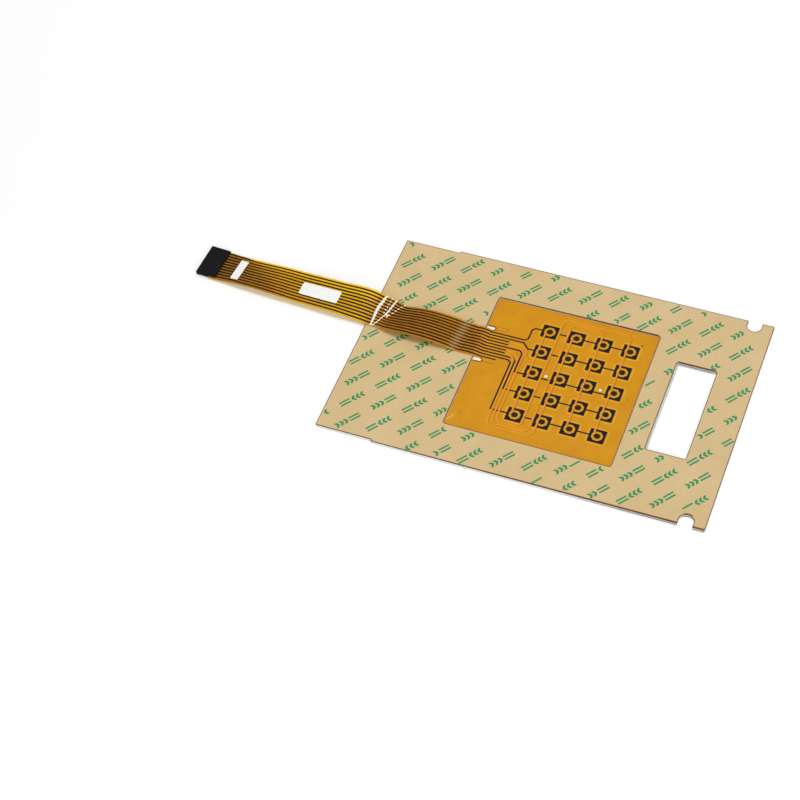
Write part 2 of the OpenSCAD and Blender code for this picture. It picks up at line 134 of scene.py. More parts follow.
# %% Follow the tail's route
route = MM * np.array([
    [-14.5, -48.35, 0.95], [-14.5, -49, 0.95], [-14.5, -50.5, 1.35], [-14.5, -53, 2.1], [-14.5, -57, 2.3],
    [-14.5, -63, 2.3], [-14.5, -67, 2.7], [-14.5, -75, 4.4], [-14.5, -85, 5.6], [-14.5, -95, 6],
    [-14.6, -105, 5.3], [-15, -112, 4.1], [-16, -118, 3.4], [-17.4, -124, 3.4], [-17.7, -130, 4.2],
    [-18.2, -138, 5.4], [-18.6, -146, 5.7], [-19.2, -156, 5.4], [-20.1, -173, 4.75], [-21, -190, 4.1],
    [-21.7, -202, 4.1], [-22.4, -215, 3.7], [-23.2, -230, 2.8], [-23.9, -243, 1.8], [-24.2, -248.5, 1.5],
    [-24.4, -252.5, 1.5], [-24.55, -255.5, 1.5]])
roll_degrees = np.array([0, 0, 0, 0, 0, 0, 0, 0, -1, -2, -5, -6, -2, 3, 8, 12, 11, 6.5, 4.5, 2.5, 0.5, -2.5,
                         -4, -1.5, 0, 0, 0])
route_s = np.concatenate([[0], np.cumsum(np.linalg.norm(np.diff(route, axis=0), axis=1))])
TAIL_L, TAIL_W, FILM_T = route_s[-1], 27 * MM, 0.2 * MM


def along_route(values, s):
    """Smooth curve through values at route_s: a cubic on each stretch, its slopes from the neighbours."""
    values, s = np.asarray(values, float).reshape(len(route_s), -1), np.asarray(s)
    slope = np.gradient(values, route_s, axis=0)
    i = np.clip(np.searchsorted(route_s, s, side="right") - 1, 0, len(route_s) - 2)
    step = (route_s[i + 1] - route_s[i])[..., None]
    t = (s - route_s[i])[..., None] / step
    rise = (3 - 2 * t) * t ** 2
    return (values[i] * (1 - rise) + values[i + 1] * rise
            + step * t * (1 - t) * ((1 - t) * slope[i] - t * slope[i + 1]))


print("the tail is", round(TAIL_L / MM, 1), "mm long and", TAIL_W / MM, "mm wide")

# %% [markdown]
# ## The creases of the tail
# Stiff film kinks when it is pushed together, so the tail carries a few sharp oblique creases near the
# panel's end and a skew fold where it starts to rise. Each is a bent line in plan. A bell over the
# distance to that line serves twice: for the ridge in the surface, and for a white glint painted on the
# film.

# %% Place the creases and the fold
creases = [MM * np.array(line) for line in (
    [(-3.6, -129.8), (-10, -129.6), (-16.1, -129.7), (-20.9, -129.2), (-24.1, -128.3), (-28.8, -127.5),
     (-32, -126.2)],
    [(-4.1, -129.8), (-5.4, -127.8), (-8.9, -125.8), (-13, -124.4), (-15.8, -123.2)],
    [(-15.8, -123.2), (-20.6, -121.6), (-25.6, -120.5), (-31, -119.3)],
    [(-17, -124.6), (-22.6, -123.8), (-28, -123.3), (-31.5, -122.8)],
    [(-15.5, -123), (-16.7, -120.5), (-19, -118.4), (-21.8, -116.8), (-26, -114.4), (-29.4, -111.9)],
    [(-16.6, -122.4), (-15.2, -121.4)])]
crease_heights = MM * np.array([0.3, 0.25, 0.2, 0.1, 0.2, 0.0])
fold = MM * np.array([(-28.5, -58.1), (-18.3, -61.1), (-9.9, -63.4), (-0.5, -66.3)])


def nearness(x, y, line, width, swell=1.0):
    """How near each point is to a bent line in plan: a bell over the distance to its nearest stretch, with
    the given width at the line's ends and swell times that in its middle."""
    a, b = line[:-1], line[1:]
    ab = b - a
    px, py = x[..., None] - a[:, 0], y[..., None] - a[:, 1]
    t = np.clip((px * ab[:, 0] + py * ab[:, 1]) / (ab ** 2).sum(1), 0, 1)
    gap = np.hypot(px - t * ab[:, 0], py - t * ab[:, 1])
    nearest = gap.argmin(-1)[..., None]
    share = (nearest + np.take_along_axis(t, nearest, -1)) / len(a)
    wide = width * (1 + (swell - 1) * np.sin(np.pi * share))
    return np.exp(-(np.take_along_axis(gap, nearest, -1) / wide) ** 2)[..., 0]


print("creases:", len(creases), "and a fold of", len(fold), "points")

# %% [markdown]
# ## The surface of the tail
# One function gives the tail, its traces and its labels, so that they stay in touch wherever the film
# goes. It follows the route, tips the film by its roll, and then adds the ridges of the creases, the
# valley of the fold, a bow across the arch and a dent where the creases meet.

# %% Surface function of the tail
CREASE_W, FOLD_W, FOLD_DEPTH = 0.8 * MM, 1.2 * MM, 0.25 * MM
FOLD_S, FOLD_SKEW, FOLD_REACH = 14.0 * MM, 0.29, 8.0 * MM
BOW, BOW_S, BOW_REACH = 0.75 * MM, 48.0 * MM, 22.0 * MM
DENT, DENT_PLACE, DENT_REACH = 1.2 * MM, MM * np.array([-15.5, -121.0]), 5.0 * MM
SLOPE_STEP = 0.1 * MM


def tail_surface(s, v, lift):
    """Point at distance s along and v across the film, lifted off its middle: the route's point, plus v
    along the level direction square to the route tipped by the roll, plus the lift along the film's upward
    normal, the creases, the fold, a bow across the arch and a dent where the creases meet. Near the fold
    the height is read a little later or earlier along the route, in step with v, so it runs skew."""
    s, v = np.broadcast_arrays(s, v)
    middle = along_route(route, s)
    skewed = np.clip(s - FOLD_SKEW * v * np.exp(-((s - FOLD_S) / FOLD_REACH) ** 2), 0, TAIL_L)
    middle[..., 2] = along_route(route[:, 2], skewed)[..., 0]
    after, before = np.clip(s + SLOPE_STEP, 0, TAIL_L), np.clip(s - SLOPE_STEP, 0, TAIL_L)
    ahead = along_route(route, after) - along_route(route, before)
    ahead /= np.linalg.norm(ahead, axis=-1, keepdims=True)
    level = np.stack([-ahead[..., 1], ahead[..., 0], np.zeros_like(s)], -1)
    level /= np.linalg.norm(level, axis=-1, keepdims=True)
    up = np.cross(ahead, level)
    roll = np.radians(along_route(roll_degrees, s))
    side = level * np.cos(roll) - up * np.sin(roll)
    normal = level * np.sin(roll) + up * np.cos(roll)
    flat = middle + side * v[..., None]
    x, y = flat[..., 0], flat[..., 1]
    ridge = sum(h * nearness(x, y, line, CREASE_W) for h, line in zip(crease_heights, creases))
    ridge -= FOLD_DEPTH * nearness(x, y, fold, FOLD_W)
    ridge += BOW * (1 - (2 * v / TAIL_W) ** 2) * np.exp(-((s - BOW_S) / BOW_REACH) ** 2)
    ridge -= DENT * np.exp(-((x - DENT_PLACE[0]) ** 2 + (y - DENT_PLACE[1]) ** 2) / DENT_REACH ** 2)
    return flat + normal * (lift + ridge)[..., None]


probe = tail_surface(np.array([0.0, TAIL_L]), np.array([TAIL_W / 2, TAIL_W / 2]), 0.0)
print("edge of the tail at its root and end, mm:", (probe / MM).round(2).tolist())

# %% [markdown]
# ## The marks on the tail
# At the hard creases a white glint is painted on the film, over the soft bends a painted sheen, and along
# the fold a thin painted highlight. The film also gets a painted tone of light and shade: brown where it
# lies close over something and yellow where it stands clear. These marks are worked out for every point
# and stored in the mesh as attributes, so that the finish can read them later.

# %% Marks of the bends and the film's painted tone of light and shade
# Widths and swells of the white glint painted along each crease.
glint_widths = MM * np.array([0.85, 0.55, 0.9, 0.45, 0.6, 1.0])
glint_swells = np.array([2.0, 1.1, 1.1, 1.0, 1.0, 1.0])
# Soft bends that get a painted sheen: each line, its width and its share.
sheen_bends = [(MM * np.array([(-28.5, -66.8), (-16.3, -68.2), (-0.5, -69.4)]), 3.0 * MM, 1.0),
              (MM * np.array([(-28.5, -51.8), (-0.5, -53.2)]), 1.6 * MM, 0.22)]
# Width of the thin painted highlight along the fold.
FOLD_HIGHLIGHT_W = 0.3 * MM
# Painted tone of light and shade along the tail, from brown where it lies close to yellow where it stands
# clear.
PAINTED_TONE_S = [0, 6, 12, 20, 28, 44, 60, 70, 76, 84, 92, 108, 140, 148, 156, 164, 172, 180, 240]
PAINTED_TONE = [0.6, 0.54, 0.4, 0.44, 0.44, 0.26, 0.18, 0.24, 0.6, 0.8, 1.0, 0.92, 0.82, 0.78, 0.7, 0.58, 0.32,
        0.18, 0.1]
SKEW, SKEW_FROM, SKEW_OVER = 1.3, 100 * MM, 40 * MM
EDGE_LIGHT, EDGE_V, EDGE_FROM = 0.3, 11.5, 76 * MM
FREE_FROM, FREE_OVER = 50 * MM, 8 * MM


def bent_marks(points, on_lines):
    """Marks of the bends on film or ink: the listed creases, where a white glint is painted, a painted
    sheen over the soft bends, and a thin painted highlight along the fold.
    """
    x, y = points[:, 0], points[:, 1]
    white = [nearness(x, y, creases[n], glint_widths[n], glint_swells[n]) for n in on_lines]
    painted_sheen = [share * nearness(x, y, line, width) for line, width, share in sheen_bends]
    return {"crease": np.max(white, axis=0), "painted_sheen": np.max(painted_sheen, axis=0),
            "fold": nearness(x, y, fold, FOLD_HIGHLIGHT_W)}


def film_reach(points, s, v):
    """How free the film is of its backing, from 0 at the root to 1; its painted tone of light and shade,
    from brown where it lies close over something to yellow where it stands clear: a table along s, read skew
    past the panel's end, with painted light at the far edge; and which points are on its underside."""
    skew = SKEW * v * np.clip((s - SKEW_FROM) / SKEW_OVER, 0, 1)
    # Painted light at the far edge past the panel's end.
    far_edge_light = EDGE_LIGHT * np.clip(-v / MM - EDGE_V, 0, 1) * (s > EDGE_FROM)
    painted_light_tone = np.interp((s + skew) / MM, PAINTED_TONE_S, PAINTED_TONE) + far_edge_light
    return {"free": np.clip((-points[:, 1] - FREE_FROM) / FREE_OVER, 0, 1), "painted_light_tone": np.clip(painted_light_tone, 0, 1),
            "under": np.repeat([0.0, 1.0], len(points) // 2)}


print("tone at the root, the arch and the crease:", np.interp([0, 60, 92], PAINTED_TONE_S, PAINTED_TONE))

# %% [markdown]
# ## The tail
# The tail is a grid of stations along it and places across it. The stations lie closer together at the
# fold and at the creases, where the film bends most, so that the kinks come out sharp.

# %% Make the tail
UV_SCALE = 10


def tail_sheet(s, v, low, high):
    """Closed sheet on the tail over grids s and v, between two lifts: its points, faces and uv."""
    s, v = np.broadcast_arrays(s, v)
    points = np.concatenate([tail_surface(s, v, lift).reshape(-1, 3) for lift in (high, low)])
    uv = np.tile(np.stack([s, v], -1).reshape(-1, 2) * UV_SCALE, (2, 1))
    return points, closed_faces(*s.shape), uv


stations = np.unique(np.concatenate([np.linspace(0, TAIL_L, 250), np.linspace(8 * MM, 30 * MM, 90),
                                     np.linspace(58 * MM, 92 * MM, 240)]))
across = np.linspace(-TAIL_W / 2, TAIL_W / 2, 73)
points, faces, uv = tail_sheet(stations[:, None], across, -FILM_T / 2, FILM_T / 2)
tail_marks = {**bent_marks(points, range(len(creases))), **film_reach(points, *(uv.T / UV_SCALE))}
tail = smooth(add_piece("polyimide_tail", points, faces, "tail_film", uv, tail_marks))
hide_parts("flex_tail")
print("tail:", len(points), "points, z from", round(points[:, 2].min() / MM, 2), "to",
      round(points[:, 2].max() / MM, 2), "mm")

# %% [markdown]
# ## The tail's traces and labels
# Ten printed traces run the whole length of the tail at the connector's pitch, and step aside by a
# fraction of a millimetre where they widen into the connector's contact fingers. Two bare paper labels
# lie over them.

# %% Make the tail's traces
PITCH, TRACE_W, INK_T, INK_SUNK = 2.54 * MM, 1.22 * MM, 0.05 * MM, 0.02 * MM
FINGER_ASIDE, FINGER_WIDER, FINGER_OVER = 0.7 * MM, 0.2 * MM, 6 * MM
# Creases whose painted white glint also lies on the ink.
GLINTING_INK_CREASES = (0, 1, 2, 5)
widen = np.clip((stations - route_s[22]) / FINGER_OVER, 0, 1)[:, None]
trace_points, trace_faces, trace_uv = [], [], []
for way in (np.arange(10) - 4.5) * PITCH:
    v = way - FINGER_ASIDE * widen + np.linspace(-0.5, 0.5, 4) * (TRACE_W + FINGER_WIDER * widen)
    points, faces, uv = tail_sheet(stations[:, None], v, FILM_T / 2 - INK_SUNK, FILM_T / 2 + INK_T)
    trace_faces.append(faces + sum(map(len, trace_points)))
    trace_points.append(points)
    trace_uv.append(uv)
trace_points = np.concatenate(trace_points)
tail_ink = smooth(add_piece("tail_ink", trace_points, np.concatenate(trace_faces), "carbon_ink",
                            np.concatenate(trace_uv), bent_marks(trace_points, GLINTING_INK_CREASES)))
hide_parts("tail_traces")
print("tail traces:", len(tail_ink.data.polygons), "faces")

# %% Make the paper labels
LABEL_LOW, LABEL_HIGH = 0.005 * MM, 0.11 * MM


def paper_label(name, node, s_middle, length, v_middle, width, corner):
    """Sheet of paper on the tail: every row across it is as wide as the label, less what a quarter circle
    takes off within a corner's radius of either end."""
    ends = corner * (1 - np.cos(np.linspace(0, np.pi / 2, 8)))
    straight = np.linspace(corner, length - corner, 80)[1:-1]
    from_end = np.concatenate([ends, straight, length - ends[::-1]])
    into = np.clip(corner - np.minimum(from_end, length - from_end), 0, corner)
    half = width / 2 - corner + np.sqrt(corner ** 2 - into ** 2)
    s = (s_middle - length / 2 + from_end)[:, None]
    v = v_middle + half[:, None] * np.linspace(-1, 1, 40)
    lift = FILM_T / 2 + INK_T
    points, faces, uv = tail_sheet(s, v, lift + LABEL_LOW, lift + LABEL_HIGH)
    label = smooth(add_piece(name, points, faces, "label_paper", uv))
    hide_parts(node)
    return label


long_label = paper_label("long_paper_label", "long_tail_label", (route_s[17] + route_s[19]) / 2,
                         length=29.4 * MM, v_middle=0.6 * MM, width=10.6 * MM, corner=1.4 * MM)
short_label = paper_label("short_paper_label", "short_tail_label", (route_s[22] + route_s[23]) / 2,
                          length=5.9 * MM, v_middle=0, width=19 * MM, corner=0.5 * MM)
print("labels:", long_label.name, short_label.name)

# %% [markdown]
# ## The tail as a cord
# Whoever uses the part later may want to lay the tail another way, so its length is printed here.

print("cord of", round(TAIL_L, 4), "m declared")

# %% [markdown]
# ## A small language for materials
# Every finish here is a Principled shader with its colour, roughness and bump worked out by nodes from the
# piece's own coordinates. A few short helpers keep each recipe readable: one makes a node, one mixes two
# colours by a mask, and one gives the fine speckle that keeps a plain colour from looking dead.

# %% Helpers for the finishes
def linear(r, g, b):
    """Linear colour of screen values from 0 to 255, by the screen's own curve."""
    c = np.array([r, g, b]) / 255
    return tuple(np.where(c <= 0.04045, c / 12.92, ((c + 0.055) / 1.055) ** 2.4)) + (1.0,)


class Finish:
    """A material under construction: its node tree, its Principled shader and its Object coordinates."""

    def __init__(self, name, roughness=0.5, **sockets):
        self.material = bpy.data.materials.new(name)
        self.material.use_nodes = True
        self.tree = self.material.node_tree
        self.shader = self.tree.nodes["Principled BSDF"]
        self.shader.inputs["Roughness"].default_value = roughness
        for key, value in sockets.items():
            self.shader.inputs[key.replace("_", " ")].default_value = value
        self.object = self.tree.nodes.new("ShaderNodeTexCoord").outputs["Object"]

    def node(self, kind, inputs=(), output=0, **settings):
        """Adds a node, sets its settings, links or sets its inputs, and gives one of its outputs."""
        made = self.tree.nodes.new(kind)
        for key, value in settings.items():
            setattr(made, key, value)
        for key, value in dict(inputs).items():
            if isinstance(value, bpy.types.NodeSocket):
                self.tree.links.new(value, made.inputs[key])
            else:
                made.inputs[key].default_value = value
        return made.outputs[output]

    def math(self, operation, *values):
        """One step of arithmetic."""
        return self.node("ShaderNodeMath", dict(enumerate(values)), operation=operation)

    def stretched(self, *scale):
        """Object coordinates stretched along the axes."""
        return self.node("ShaderNodeMapping", {"Vector": self.object, "Scale": scale})

    def noise(self, scale, detail=3.0, source=None):
        """Noise over the Object coordinates, from 0 to 1."""
        return self.node("ShaderNodeTexNoise", {"Vector": source or self.object, "Scale": scale,
                                                "Detail": detail, "Roughness": 0.55})

    def ramp(self, value, low, high, out_low=0.0, out_high=1.0):
        """Straight ramp from out_low at low to out_high at high, level beyond."""
        return self.node("ShaderNodeMapRange", {0: value, 1: low, 2: high, 3: out_low, 4: out_high})

    def mix(self, mask, first, second):
        """The first colour where the mask is 0, the second where it is 1."""
        return self.node("ShaderNodeMix", {"Factor": mask, 6: first, 7: second}, output=2, data_type="RGBA")

    def speckled(self, scale, low, high, detail=3.0, span=(0.3, 0.7)):
        """Two close colours, in screen values, mixed by a noise."""
        return self.mix(self.ramp(self.noise(scale, detail), *span), linear(*low), linear(*high))

    def mark(self, name):
        """Value that the mesh stores at each point under this name."""
        return self.node("ShaderNodeAttribute", output="Fac", attribute_name=name)

    def place(self, axis):
        """One of the Object coordinates, in metres."""
        return self.node("ShaderNodeSeparateXYZ", {0: self.object}, output=axis)

    def facing(self, axis):
        """How far the face points along an axis, from -1 to 1."""
        normal = self.node("ShaderNodeNewGeometry", output="True Normal")
        return self.node("ShaderNodeSeparateXYZ", {0: normal}, output=axis)

    def colour(self, socket):
        """Sets the base colour."""
        self.tree.links.new(socket, self.shader.inputs["Base Color"])
        return self

    def rough(self, socket):
        """Sets the roughness."""
        self.tree.links.new(socket, self.shader.inputs["Roughness"])
        return self

    def bump(self, height, strength, distance):
        """Sets a fine relief."""
        made = self.node("ShaderNodeBump", {"Height": height, "Strength": strength, "Distance": distance})
        self.tree.links.new(made, self.shader.inputs["Normal"])
        return self

    def show(self, shader):
        """Shows another shader in place of the plain Principled one."""
        self.tree.links.new(shader, self.tree.nodes["Material Output"].inputs["Surface"])
        return self

    def on(self, *pieces):
        """Puts the finish on pieces, or on solid nodes by name."""
        for piece in pieces:
            piece = layers[piece] if isinstance(piece, str) else piece
            piece.data.materials.clear()
            piece.data.materials.append(self.material)
        return self


print("tan of the liner, linear:", [round(c, 3) for c in linear(212, 185, 136)])

# %% [markdown]
# ## Amber film
# Polyimide is a clear amber film. Where it stands clear of the table it looks bright yellow, and where it
# lies close over something it looks brown, because less light comes back through it. The painted tone of
# light and shade worked out above picks between three ambers, and the underside is painted bright yellow
# for the light that comes through. A Transparent shader with a yellow tint lets a yellow light fall
# through into the film's shadow. Over these lie the painted white glint of the creases and the painted
# sheen of the bends and the fold.

# %% Finish of the amber film
tail_film = Finish("tail_film", 0.3, Specular_IOR_Level=0.1)
cloud = tail_film.ramp(tail_film.noise(140.0), 0.35, 0.65)
painted_light_tone = tail_film.mark("painted_light_tone")
brown = tail_film.mix(cloud, linear(128, 78, 6), linear(142, 90, 12))
gold = tail_film.mix(cloud, linear(208, 130, 6), linear(220, 144, 12))
yellow = tail_film.mix(cloud, linear(252, 194, 4), linear(255, 204, 10))
# Painted shade and light: brown, then gold, then yellow as the painted tone rises.
painted_shade_amber = tail_film.mix(tail_film.ramp(painted_light_tone, 0.0, 0.55), brown, gold)
painted_tone_amber = tail_film.mix(tail_film.ramp(painted_light_tone, 0.55, 1.0), painted_shade_amber, yellow)
# The underside is painted bright yellow, as painted light for the light that comes through the film.
amber = tail_film.mix(tail_film.ramp(tail_film.mark("under"), 0.4, 0.6), painted_tone_amber, linear(255, 222, 60))
# Painted white glint along the creases; it also takes away the film's see-through share there.
crease_glint = tail_film.ramp(tail_film.mark("crease"), 0.5, 0.75)
# Painted sheen over the soft bends, and a painted highlight along the fold.
bent = tail_film.math("MAXIMUM", tail_film.math("MULTIPLY", tail_film.mark("painted_sheen"), 0.42),
                      tail_film.math("MULTIPLY", tail_film.mark("fold"), 0.5))
sheened_amber = tail_film.mix(bent, amber, linear(238, 204, 150))
tail_film.colour(tail_film.mix(crease_glint, sheened_amber, linear(252, 248, 236)))
tail_film.bump(tail_film.noise(60.0, 2.0), 0.12, 0.0004)
clear = tail_film.node("ShaderNodeBsdfTransparent", {"Color": linear(255, 236, 104)}, output="BSDF")
by_tone = tail_film.math("MULTIPLY", tail_film.mark("free"), tail_film.ramp(painted_light_tone, 0.2, 0.6, 0.3, 0.6))
open_share = tail_film.math("MULTIPLY", tail_film.math("SUBTRACT", 1.0, crease_glint), by_tone)
tail_film.show(tail_film.node("ShaderNodeMixShader", {0: open_share, 1: tail_film.shader.outputs["BSDF"],
                                                      2: clear}))
tail_film.on(tail)
print("tail film made")

# %% [markdown]
# ## The circuit film
# The same film lies flat behind the keys, backed by the white spacer, so it looks opaque. Round each
# contact the spacer is open, and the film is a little lighter there, with a lighter outline. The nodes
# below find the nearest key by rounding to the key pitch, and measure the distance to a rounded square
# round its middle. Two faint stains follow.

# %% Finish of the circuit film
KEY_PITCH, KEY_BLOCK_Y = 19.05, 18.0
OPENING_HALF, OPENING_CORNER = 6.7, 2.6
STAINS = ((3.9, 57.1, 6.0), (47.4, -44.7, 4.0))
circuit_film = Finish("circuit_film", 0.34, Specular_IOR_Level=0.12)


def past_opening(film, metres, centre, half_count):
    """How many mm a place lies past the straight part of the nearest key's opening: the place less the key
    line that rounding finds within the block, less that straight part, and 0 inside it."""
    mm = film.math("SUBTRACT", film.math("MULTIPLY", metres, 1000.0), centre)
    shift = 0.5 if half_count % 1 else 0.0
    steps = film.math("SUBTRACT", film.math("DIVIDE", mm, KEY_PITCH), shift)
    count = film.math("ADD", film.math("ROUND", steps), shift)
    count = film.math("MINIMUM", film.math("MAXIMUM", count, -half_count), half_count)
    away = film.math("ABSOLUTE", film.math("SUBTRACT", mm, film.math("MULTIPLY", count, KEY_PITCH)))
    past = film.math("SUBTRACT", away, OPENING_HALF - OPENING_CORNER)
    return film.math("MAXIMUM", past, 0.0)


out_x = past_opening(circuit_film, circuit_film.place("X"), 0.0, 2)
out_y = past_opening(circuit_film, circuit_film.place("Y"), KEY_BLOCK_Y, 1.5)
reach = circuit_film.math("SQRT", circuit_film.math("ADD", circuit_film.math("MULTIPLY", out_x, out_x),
                                                    circuit_film.math("MULTIPLY", out_y, out_y)))
over_opening = circuit_film.ramp(reach, OPENING_CORNER + 0.35, OPENING_CORNER - 0.35)
from_edge = circuit_film.math("ABSOLUTE", circuit_film.math("SUBTRACT", reach, OPENING_CORNER))
gold = circuit_film.speckled(70.0, (203, 136, 2), (212, 147, 4))
lighter = circuit_film.mix(circuit_film.math("MULTIPLY", over_opening, 0.35), gold, linear(226, 162, 20))
outline = circuit_film.ramp(from_edge, 0.5, 0.15, 0.0, 0.55)
film_colour = circuit_film.mix(outline, lighter, linear(238, 182, 40))
streaks = circuit_film.noise(500.0, 3.0, circuit_film.stretched(0.35, 1.0, 1.0))
streaks = circuit_film.ramp(streaks, 0.45, 0.6)
for stain_x, stain_y, stain_reach in STAINS:
    middle = (stain_x * MM, stain_y * MM, 1.05 * MM)
    away = circuit_film.node("ShaderNodeVectorMath", {0: circuit_film.object, 1: middle}, output="Value",
                             operation="DISTANCE")
    near = circuit_film.ramp(away, stain_reach * MM, 0.0, 0.0, 0.7)
    film_colour = circuit_film.mix(circuit_film.math("MULTIPLY", near, streaks), film_colour,
                                   linear(160, 98, 14))
circuit_film.colour(film_colour)
circuit_film.bump(circuit_film.math("ADD", circuit_film.math("MULTIPLY", over_opening, 0.2),
                                    circuit_film.noise(45.0, 2.0)), 0.15, 0.0004)
circuit_film.on("flex_circuit")
print("circuit film made")

# %% [markdown]
# ## Ink and copper
# The black contacts and traces are printed carbon, which is matt and nearly black. The orange traces are
# copper under the clear film. A darker copy of the traces lies a little aside and below them, as a painted
# shadow beside each trace.

# %% Finish of the printed ink
def printed_carbon(name, low, high):
    """Carbon ink: two close blacks mixed by a fine speck, with a slight grain as bump."""
    ink = Finish(name, 0.5, Specular_IOR_Level=0.05)
    ink.bump(ink.noise(1500.0, 2.0), 0.2, 0.00005)
    return ink, ink.speckled(900.0, low, high, 2.0)


contact_ink, contact_black = printed_carbon("carbon_contacts", (22, 20, 23), (34, 31, 33))
contact_ink.colour(contact_black).on("column_contacts")
dot_ink, dot_brown = printed_carbon("carbon_dots", (36, 27, 16), (52, 40, 24))
dot_ink.colour(dot_brown).on("centre_contacts")
trace_ink, trace_black = printed_carbon("carbon_ink", (16, 13, 10), (28, 22, 16))
# Painted sheen on the ink over the soft bends.
ink_sheen = trace_ink.math("MULTIPLY", trace_ink.mark("painted_sheen"), 0.3)
sheened_ink = trace_ink.mix(ink_sheen, trace_black, linear(150, 126, 104))
# Painted white glint on the ink along the listed creases.
ink_glint = trace_ink.ramp(trace_ink.mark("crease"), 0.6, 0.85)
trace_ink.colour(trace_ink.mix(ink_glint, sheened_ink, linear(238, 232, 218))).on(tail_ink)
print("carbon ink finishes made")

# %% Finish of the copper and its painted shadow
SHADOW_SHIFT = MM * np.array([0.0, 0.85, -0.03])


def welded(node, decimals):
    """Points and triangles of a solid's mesh, with the points that coincide made one."""
    mesh = layers[node].data
    points = np.empty(3 * len(mesh.vertices), np.float32)
    mesh.vertices.foreach_get("co", points)
    points, twins = np.unique(points.reshape(-1, 3).round(decimals), axis=0, return_inverse=True)
    return points, twins.ravel()[[list(face.vertices) for face in mesh.polygons]]


copper = Finish("copper_trace", 0.4, Specular_IOR_Level=0.1)
copper.colour(copper.speckled(120.0, (228, 144, 24), (240, 156, 38))).on("row_traces")
row_points, row_faces = welded("row_traces", 7)
# A darker copy of the traces, shifted aside and sunk a little, as a painted shadow beside each trace.
row_trace_shadow = add_piece("row_trace_shadow", row_points + SHADOW_SHIFT, row_faces, "circuit_film")
offset_shadow = Finish("row_trace_shadow", 0.4, Specular_IOR_Level=0.1)
offset_shadow.colour(offset_shadow.speckled(120.0, (178, 112, 6), (188, 122, 12))).on(row_trace_shadow)
print("copper finish made, with an edging of", len(row_faces), "faces")

# %% [markdown]
# ## Paper and adhesive
# The liner is a tan coated paper with a faint mottle and fibres, brown on its cut sides. The labels are
# plain white paper. The adhesives show only as thin dark lines in the panel's edge.

# %% Finish of the liner, the labels and the adhesives
liner_paper = Finish("liner_paper", 0.62, Specular_IOR_Level=0.25)
tan = liner_paper.speckled(28.0, (208, 180, 130), (216, 190, 142), 4.0)
fibre = liner_paper.ramp(liner_paper.noise(700.0, 3.0), 0.35, 0.65)
paper = liner_paper.mix(liner_paper.math("MULTIPLY", fibre, 0.25), tan, linear(196, 166, 116))
upward = liner_paper.ramp(liner_paper.facing("Z"), 0.4, 0.8)
liner_paper.colour(liner_paper.mix(upward, linear(94, 56, 16), paper))
liner_paper.bump(liner_paper.noise(900.0, 3.0), 0.15, 0.00008)
liner_paper.on("release_liner")

label_paper = Finish("label_paper", 0.6)
label_paper.colour(label_paper.speckled(500.0, (236, 236, 233), (248, 248, 246)))
label_paper.bump(label_paper.noise(800.0, 3.0), 0.2, 0.00006)
label_paper.on(long_label, short_label)

brown_bond = Finish("mounting_adhesive", 0.5)
brown_bond.colour(brown_bond.speckled(200.0, (66, 35, 7), (86, 48, 12))).on("rear_adhesive")
dark_bond = Finish("bonding_adhesive", 0.45)
dark_bond.colour(dark_bond.speckled(200.0, (34, 34, 36), (46, 46, 48))).on("overlay_adhesive")
print("paper and adhesive finishes made")

# %% [markdown]
# ## Plate, spacer and domes
# The plate shows only as a bright line in the cut edges. Low on its sides that face the front it gets a
# dark grey band of painted shade, which grows towards the window end. The spacer is white film, and the
# domes are spring steel.

# %% Finish of the plate, the spacer and the domes
SHADE_SPAN_Y, SHADE_SPAN_Z = (30.0 * MM, 80.0 * MM), (0.62 * MM, 0.8 * MM)


def front_side_shade(film):
    """Share of painted shade on the sides that face the front: it grows along Y towards the window end."""
    return film.math("MULTIPLY", film.ramp(film.place("Y"), *SHADE_SPAN_Y),
                     film.ramp(film.facing("X"), 0.6, 0.9))


plate = Finish("plate_metal", 0.4)
grain = plate.noise(300.0, 3.0, plate.stretched(1.0, 14.0, 14.0))
satin = plate.mix(plate.ramp(grain, 0.3, 0.7), linear(244, 246, 247), linear(253, 254, 254))
# Painted shade: a dark grey band low on the sides that face the front.
low_down = plate.ramp(plate.place("Z"), *SHADE_SPAN_Z, 1.0, 0.0)
painted_shade_band = plate.math("MULTIPLY", front_side_shade(plate), low_down)
plate.colour(plate.mix(painted_shade_band, satin, linear(66, 68, 73)))
plate.rough(plate.ramp(grain, 0.3, 0.7, 0.3, 0.46))
plate.on("backing_plate")

spacer = Finish("spacer_film", 0.5)
spacer.colour(spacer.speckled(150.0, (248, 248, 246), (254, 254, 252))).on("dome_spacer")

dome_steel = Finish("dome_steel", 0.25, Metallic=1.0)
brushed = dome_steel.ramp(dome_steel.noise(400.0, 3.0, dome_steel.stretched(1.0, 12.0, 1.0)), 0.3, 0.7)
dome_steel.colour(dome_steel.mix(brushed, linear(190, 192, 194), linear(214, 215, 216)))
dome_steel.on(*[f"snap_dome_{n}" for n in range(1, 21)])
print("plate, spacer and dome finishes made")

# %% [markdown]
# ## Overlay and window
# The overlay is a fine matt film. Its grey is printed on the face, and its back is white, which shows on
# the ledge round the window; its sides that face the front get the same painted shade as the plate. The
# pane is clear, so a Transparent shader takes nearly all of it.

# %% Finish of the overlay, its print and the window
PANE_CLEAR = 0.98


def printed_film(name, low, high, roughness=0.45):
    """Screen-printed film: two close colours mixed by a stipple, with a fine velvet texture as bump."""
    film = Finish(name, roughness)
    film.bump(film.noise(2200.0, 2.0), 0.25, 0.00005)
    return film, film.speckled(60.0, low, high, 4.0)


overlay_film, grey = printed_film("overlay_film", (172, 180, 184), (180, 188, 191), 0.48)
